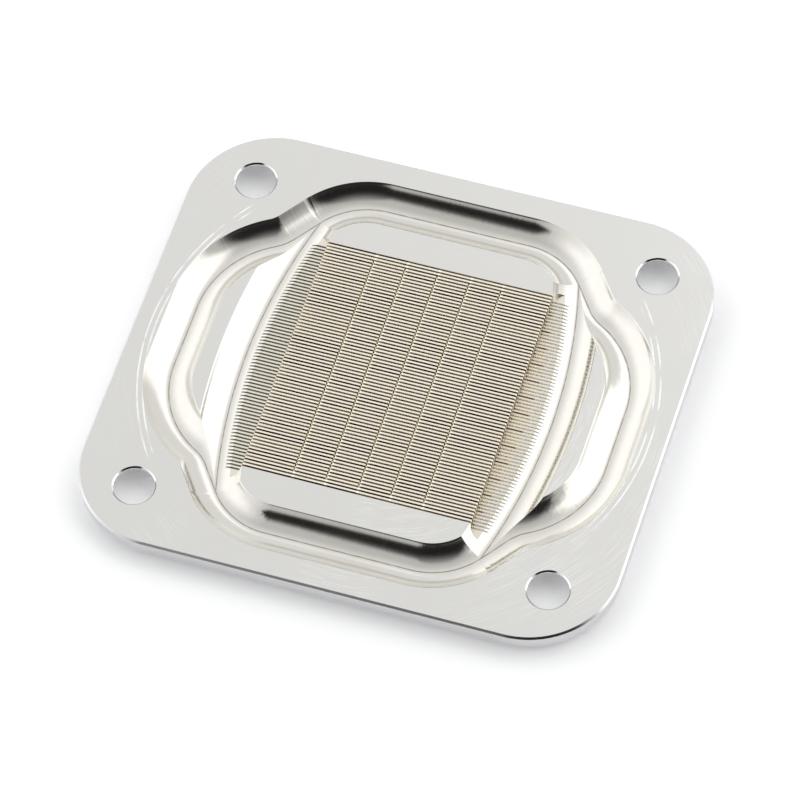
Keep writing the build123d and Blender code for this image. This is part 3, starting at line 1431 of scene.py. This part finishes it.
    def build(self, region: Region) -> None:
        """Block and ledge walls with painted shade and light, and a painted reflection seen far off.

        Args:
            region: Region that the finish is for.
        """
        n, shader = self.start(region)
        place = self.place(n)
        clean, rough = self.plating(n, place)
        x, y, _ = n.parts(place)
        row = n.maths("FLOOR", n.maths("DIVIDE", y, self.pitch))
        block, ledge = self.painted_block_shading(n, x, row, clean), self.painted_ledge_shading(n, x, y, row)
        half = self.block_half_length
        outside = n.ramp(n.maths("ABSOLUTE", x), half, half + self.soft)
        # Glossy rays that travel far see the walls in a lighter tone: a painted reflection.
        rays = n.add("ShaderNodeLightPath").outputs
        painted_reflection_mask = n.product(rays["Is Glossy Ray"], n.ramp(rays["Ray Length"], *self.painted_reflection_limits))
        colour = n.blend(painted_reflection_mask, n.blend(outside, block, ledge), self.painted_groove_light)
        self.dress(n, shader, colour, rough)


@dataclass(frozen=True)
class FinFinish(Finish):
    """Fin tops, with a turned-down edge to the right of each cross cut and a painted highlight on it.

    Lengths are in metres.

    Fields:
        pitch: Distance between cross cuts.
        reach: Distance from the middle to the last cut, with a little room.
        soft: Width over which the edges end there.
        edge_width: Width of the turned-down edge.
        edge_drop: How far it falls.
        painted_edge_highlight: Its painted highlight colour.
    """

    pitch: float = FinField.cross_cut_pitch * MM
    reach: float = 0.0074
    soft: float = 0.0001
    edge_width: float = 0.0003
    edge_drop: float = 0.00009
    painted_edge_highlight: Colour = (1.0, 0.99, 0.90, 1.0)

    def build(self, region: Region) -> None:
        """Tool marks, and an edge that rises over its width from each cut, with a painted highlight.

        Args:
            region: Region that the finish is for.
        """
        n, shader = self.start(region)
        place = self.place(n)
        colour, rough = self.plating(n, place)
        x = n.parts(place)[0]
        near = n.fall(n.maths("ABSOLUTE", x), self.reach - self.soft, self.reach)
        # The edge falls as a real bump, and its light colour is a painted highlight.
        edge = n.product(n.fall(n.past(x, self.pitch), 0.0, self.edge_width), near)
        marks = n.product(self.marks(n, place), self.mark_depth)
        self.dress(n, shader, n.blend(edge, colour, self.painted_edge_highlight), rough)
        self.relief(n, shader, n.minus(marks, n.product(edge, self.edge_drop)), 1.0)


FINISHES = {
    Region.FACE: FaceFinish(
        clear=(0.735, 0.73, 0.71, 1.0), dull=(0.71, 0.70, 0.675, 1.0), roughness=0.24,
        clouding=0.35, mark_spacing=0.00013, mark_depth=2e-7,
    ),
    Region.EDGE: Finish(
        # The edge's faint blue is a painted cool reflection.
        clear=(0.74, 0.74, 0.745, 1.0), dull=(0.70, 0.70, 0.705, 1.0), roughness=0.2,
        clouding=0.4, mark_length=0.01, mark_spacing=0.0001,
    ),
    Region.CONTACT: Finish(roughness=0.22, clouding=0.4, mark_length=0.02, mark_spacing=0.00008),
    Region.RING: GrooveFinish(),
    Region.SIDE: GrooveFinish(),
    Region.LEDGE: Finish(
        clear=(0.80, 0.76, 0.67, 1.0), dull=(0.74, 0.69, 0.59, 1.0), roughness=0.35
    ),
    # Slot walls lighter than the plating: painted light that stands in for light bouncing into the
    # slots.
    Region.SLOT: SlotFinish(
        clear=(0.91, 0.85, 0.73, 1.0), dull=(0.86, 0.79, 0.65, 1.0), roughness=0.5
    ),
    # The cross cuts' light cream tone is painted light reflected from their walls.
    Region.CROSS: Finish(
        clear=(0.90, 0.84, 0.62, 1.0), dull=(0.84, 0.77, 0.54, 1.0), roughness=0.55
    ),
    # Fin tops lighter than the face: painted light that the narrow tops catch.
    Region.FIN_TOP: FinFinish(
        clear=(0.90, 0.835, 0.72, 1.0), dull=(0.85, 0.78, 0.65, 1.0), roughness=0.42,
        mark_length=0.003, mark_spacing=0.00005, mark_depth=1e-6,
    ),
    # The bore's light tone is painted light.
    Region.HOLE: Finish(
        clear=(0.90, 0.90, 0.90, 1.0), dull=(0.86, 0.86, 0.86, 1.0), roughness=0.1,
        clouding=0.4, mark_length=0.01, mark_spacing=0.0001,
    ),
}


# The whole plate, its camera and its light


class Surface:
    """The plate's mesh read as whole arrays, in millimetres.

    Attributes:
        places: Place of each face corner, shape (corners, 3).
        owner: Number of the face that each corner belongs to.
        middles: Middle of each face, shape (faces, 3).
        flats: Flat normal of each face, shape (faces, 3).
        slots: Material slot of each face.
        names: Material name of each face.
    """

    def __init__(self, mesh: bpy.types.Mesh) -> None:
        """Reads the mesh.

        Args:
            mesh: Mesh of the plate after its last cut.
        """
        vertices = read_all(mesh.vertices, "co", float, 3)
        self.places = vertices[read_all(mesh.loops, "vertex_index", np.int32)] / MM
        order = np.argsort(read_all(mesh.polygons, "loop_start", np.int32), kind="stable")
        self.owner = np.repeat(order, read_all(mesh.polygons, "loop_total", np.int32)[order])
        self.middles = read_all(mesh.polygons, "center", float, 3) / MM
        self.flats = read_all(mesh.polygons, "normal", float, 3)
        self.slots = read_all(mesh.polygons, "material_index", np.int32)
        self.names = np.array([material.name for material in mesh.materials])[self.slots]

    def corners_of(self, region: Region) -> np.ndarray:
        """Which face corners lie on a region."""
        return self.names[self.owner] == region.value


@dataclass
class ColdPlate:
    """The milled plate: blank, grooves, fin field and screw holes in one piece."""

    blank: Blank
    grooves: Grooves
    fins: FinField
    holes: ScrewHoles

    def build(self) -> bpy.types.Object:
        """Cuts the blank, sets its normals and maps, and dresses every region.

        Returns:
            The finished plate.
        """
        body = self.blank.build()
        for stage in (self.grooves, self.fins, self.holes):
            stage.cut_from(body)
            LOG.info("%s: %d faces", type(stage).__name__, len(body.data.polygons))
        self.shade(body)
        for region, finish in FINISHES.items():
            finish.build(region)
        return body

    def shade(self, body: bpy.types.Object) -> None:
        """Sets exact normals and the grooves' map, and tells the fin tops apart.

        Args:
            body: The plate after its last cut.
        """
        mesh, surface = body.data, Surface(body.data)
        normals, maps = self.exact(surface)
        tops = (surface.names == Region.FACE.value) & self.fins.on_block(surface.middles)
        surface.slots[tops] = len(mesh.materials)
        mesh.materials.append(placeholder(Region.FIN_TOP))
        mesh.polygons.foreach_set("material_index", surface.slots)
        mesh.polygons.foreach_set("use_smooth", np.ones(len(surface.slots), bool))
        chart = mesh.uv_layers.new(name="groove")
        chart.data.foreach_set("uv", maps.astype(np.float32).ravel())
        mesh.normals_split_custom_set(normals.tolist())
        mesh.update()

    def exact(self, surface: Surface) -> tuple[np.ndarray, np.ndarray]:
        """Normal of the surface that each face corner lies on, and its place on the map.

        Where a face crosses the ring's start, the stations past it go on from the length.

        Args:
            surface: The plate's mesh as arrays.

        Returns:
            Unit normals, shape (corners, 3), and map places, shape (corners, 2), which are
            0 outside the grooves.
        """
        places, owner = surface.places, surface.owner
        normals, maps = surface.flats[owner], np.zeros((len(owner), 2))
        for region in (Region.RING, Region.SIDE):
            mine = surface.corners_of(region)
            normals[mine], maps[mine] = self.grooves.normals(places[mine], region)
        walls = np.column_stack([places[:, :2], surface.middles[owner, 2]])
        edge, hole = surface.corners_of(Region.EDGE), surface.corners_of(Region.HOLE)
        normals[edge] = self.blank.wall_normals(walls[edge])
        normals[hole] = self.holes.normals(walls[hole])
        ledge = surface.corners_of(Region.LEDGE)
        normals[ledge] = self.fins.rounded(normals[ledge], places[ledge])
        length = self.grooves.ring.stations()[-1]
        furthest = np.zeros(len(surface.slots))
        np.maximum.at(furthest, owner, maps[:, 0])
        maps[:, 0] += length * (furthest[owner] - maps[:, 0] > length / 2)
        return normals / np.linalg.norm(normals, axis=1)[:, None], maps


@dataclass(frozen=True)
class Viewpoint:
    """Camera at the photograph's angle; distances in millimetres, angles in degrees.

    The range that it sees, from the nearest to the farthest place, is in metres.
    """

    azimuth: float = 22.72
    elevation: float = 58.19
    roll: float = -5.75
    distance: float = 519.8
    focal_length: float = 232.9
    sensor: float = 36.0
    aim: tuple[float, float, float] = (0.897, -2.216, 2.4)
    sees: Limits = (0.01, 20.0)

    def build(self) -> None:
        """Makes the scene's camera from its direction, roll and distance.

        With azimuth a and elevation e it looks along minus (sin a cos e, -cos a cos e,
        sin e), and the roll turns its right and up about that.
        """
        a, e, r = np.radians([self.azimuth, self.elevation, self.roll])
        back = np.array([np.sin(a) * np.cos(e), -np.cos(a) * np.cos(e), np.sin(e)])
        level = np.array([np.cos(a), np.sin(a), 0.0])
        rise = np.cross(back, level)
        right = np.cos(r) * level + np.sin(r) * rise
        up = -np.sin(r) * level + np.cos(r) * rise
        data = bpy.data.cameras.new("camera")
        data.lens, data.sensor_width = self.focal_length, self.sensor
        data.clip_start, data.clip_end = self.sees
        made = bpy.data.objects.new("camera", data)
        bpy.context.scene.collection.objects.link(made)
        place = (np.array(self.aim) + back * self.distance) * MM
        turned = Matrix(np.column_stack([right, up, back]).tolist()).to_4x4()
        made.matrix_world = Matrix.Translation(place.tolist()) @ turned
        bpy.context.scene.camera = made


@dataclass(frozen=True)
class Studio:
    """White studio: pale floor, bright panels left and right, dark camera side.

    A level is a brightness, with 1 as white. A direction's x, y and z are its parts along
    the plate's own axes, and limits are the values between which a level comes in or goes.

    Fields:
        room: Level of the room.
        back: Level that the back adds.
        back_limits: Limits of y for it.
        left: Level that the left panel adds.
        left_limits: Limits of x between which it goes.
        left_front: Limits of y between which it comes to full strength.
        left_least: Its share in front of them.
        left_loss: Share that it loses towards the back.
        right: Level that the right panel adds.
        right_lean: Share of y in the slope x + share * y on which the right panel lies.
        right_limits: Limits of that slope between which it comes in.
        right_front: Limits of y between which it comes in.
        right_back: Limits of y between which it goes.
        dark: Level of the dark camera side.
        dark_sides: Its bounding planes: factors of x, y and z, and limits of their sum.
        dark_rise: Limits of the elevation between which it comes in, in degrees.
        clear_from: Elevation from which it clears, in degrees.
        floor_tone: Colour of the light that the floor scatters.
        floor_seen: Its colour for the camera and for the metal.
        floor_white: Share of white mixed with that.
        floor_size: Side of the floor, in metres.
        floor_drop: How far it lies below the plate, in metres.
    """

    room: float = 0.78
    back: float = 0.35
    back_limits: Limits = (0.0, 0.5)
    left: float = 0.90
    left_limits: Limits = (-0.75, -0.2)
    left_front: Limits = (-0.7, -0.2)
    left_least: float = 0.5
    left_loss: float = 0.35
    right: float = 0.98
    right_lean: float = 0.9
    right_limits: Limits = (0.30, 0.52)
    right_front: Limits = (-0.16, 0.02)
    right_back: Limits = (0.60, 0.76)
    dark: float = 0.02
    dark_sides: tuple[tuple[float, float, float, float, float], ...] = (
        (0.866, -0.5, 0.0, -0.075, 0.075),
        (-0.342, -0.94, 0.0, -0.10, 0.12),
        (0.705, 0.147, 0.694, -0.075, 0.075),
    )
    dark_rise: Limits = (8.0, 15.0)
    clear_from: float = 44.0
    floor_tone: Colour = (0.93, 0.93, 0.93, 1.0)
    floor_seen: Colour = (1.265, 1.27, 1.28, 1.0)
    floor_white: float = 0.10
    floor_size: float = 4.0
    floor_drop: float = 0.00002

    def build(self) -> None:
        """Makes the world's light and the floor."""
        self.light()
        self.floor()

    def bright(self, n: Nodes, x: Socket, y: Socket) -> Socket:
        """Level of the room with its back and its two panels.

        Args:
            n: The world's node maker.
            x: Part of the direction along X.
            y: Part of the direction along Y.

        Returns:
            The level.
        """
        behind = n.ramp(y, *self.back_limits)
        left = n.product(
            n.fall(x, *self.left_limits), n.ramp(y, *self.left_front, self.left_least, 1.0),
            n.minus(1.0, n.product(behind, self.left_loss)),
        )
        slope = n.total(x, n.product(y, self.right_lean))
        right = n.product(
            n.ramp(slope, *self.right_limits), n.ramp(y, *self.right_front), n.fall(y, *self.right_back)
        )
        panels = n.product(behind, self.back), n.product(left, self.left), n.product(right, self.right)
        return n.total(self.room, *panels)

    def light(self) -> None:
        """World colour from the direction seen, and white for the camera itself.

        The dark camera side is the product of smooth steps over its bounding planes and
        over the elevation. Its level is dark + room * t^2, where t runs from 0 at the
        elevation from which it clears to 1 overhead.
        """
        world = bpy.data.worlds.new("studio")
        bpy.context.scene.world = world
        world.use_nodes = True
        n = Nodes(world.node_tree)
        x, y, z = n.parts(n.add("ShaderNodeTexCoord").outputs["Generated"])
        elevation = n.maths("DEGREES", n.maths("ARCSINE", z))
        mask = n.ramp(elevation, *self.dark_rise)
        for a, b, c, low, high in self.dark_sides:
            away = n.total(n.product(x, a), n.product(y, b), n.product(z, c))
            mask = n.product(mask, n.ramp(away, low, high))
        t = n.maths("DIVIDE", n.minus(elevation, self.clear_from), 90.0 - self.clear_from)
        t = n.maths("MAXIMUM", t, 0.0)
        shade = n.total(n.product(t, t, self.room), self.dark)
        lit = n.total(n.product(self.bright(n, x, y), n.minus(1.0, mask)), n.product(shade, mask))
        seen = n.add("ShaderNodeLightPath").outputs["Is Camera Ray"]
        strength = n.total(n.product(lit, n.minus(1.0, seen)), seen)
        background = n.add("ShaderNodeBackground", Strength=strength)
        n.add("ShaderNodeOutputWorld", Surface=background.outputs[0])

    def floor(self) -> None:
        """Wide level sheet just under the plate.

        Seen straight or in the metal, its colour is lifted and partly mixed with white
        until the open floor is white; the light that it scatters keeps its own tone.
        """
        half = self.floor_size / 2
        plan = half * np.array([[-1, -1], [1, -1], [1, 1], [-1, 1]])
        corners = np.column_stack([plan, np.full(len(plan), -self.floor_drop)])
        mesh = bpy.data.meshes.new("floor")
        mesh.from_pydata(corners.tolist(), [], [(0, 1, 2, 3)])
        material = bpy.data.materials.new("floor_paper")
        material.use_nodes = True
        n = Nodes(material.node_tree)
        rays = n.add("ShaderNodeLightPath").outputs
        seen = n.maths("MAXIMUM", rays["Is Camera Ray"], rays["Is Glossy Ray"])
        paper = n.add("ShaderNodeBsdfDiffuse", Color=n.blend(seen, self.floor_tone, self.floor_seen))
        mixed = n.add("ShaderNodeMixShader")
        n.feed(mixed.inputs[0], n.product(seen, self.floor_white))
        n.feed(mixed.inputs[1], paper.outputs[0])
        n.feed(mixed.inputs[2], n.add("ShaderNodeEmission").outputs[0])
        n.add("ShaderNodeOutputMaterial", Surface=mixed.outputs[0])
        mesh.materials.append(material)
        made = bpy.data.objects.new("floor", mesh)
        bpy.context.scene.collection.objects.link(made)


def main() -> None:
    """Builds the plate in order, hands it to the frame and sets up the picture."""
    logging.basicConfig(level=logging.INFO, format="%(message)s")
    bpy.context.scene.view_settings.view_transform = "Standard"
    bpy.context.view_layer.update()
    low, high = (np.array(corner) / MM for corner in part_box(NODE))
    blank = Blank(*(high - low))
    grooves = Grooves(blank)
    plate = ColdPlate(blank, grooves, FinField(grooves), ScrewHoles(blank))
    Plating().build()
    ToolMarks().build()
    body = plate.build()
    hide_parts(NODE)
    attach(body, "root")
    LOG.info("%s: %d faces", body.name, len(body.data.polygons))
    Viewpoint().build()
    Studio().build()


if __name__ == "__main__":
    main()
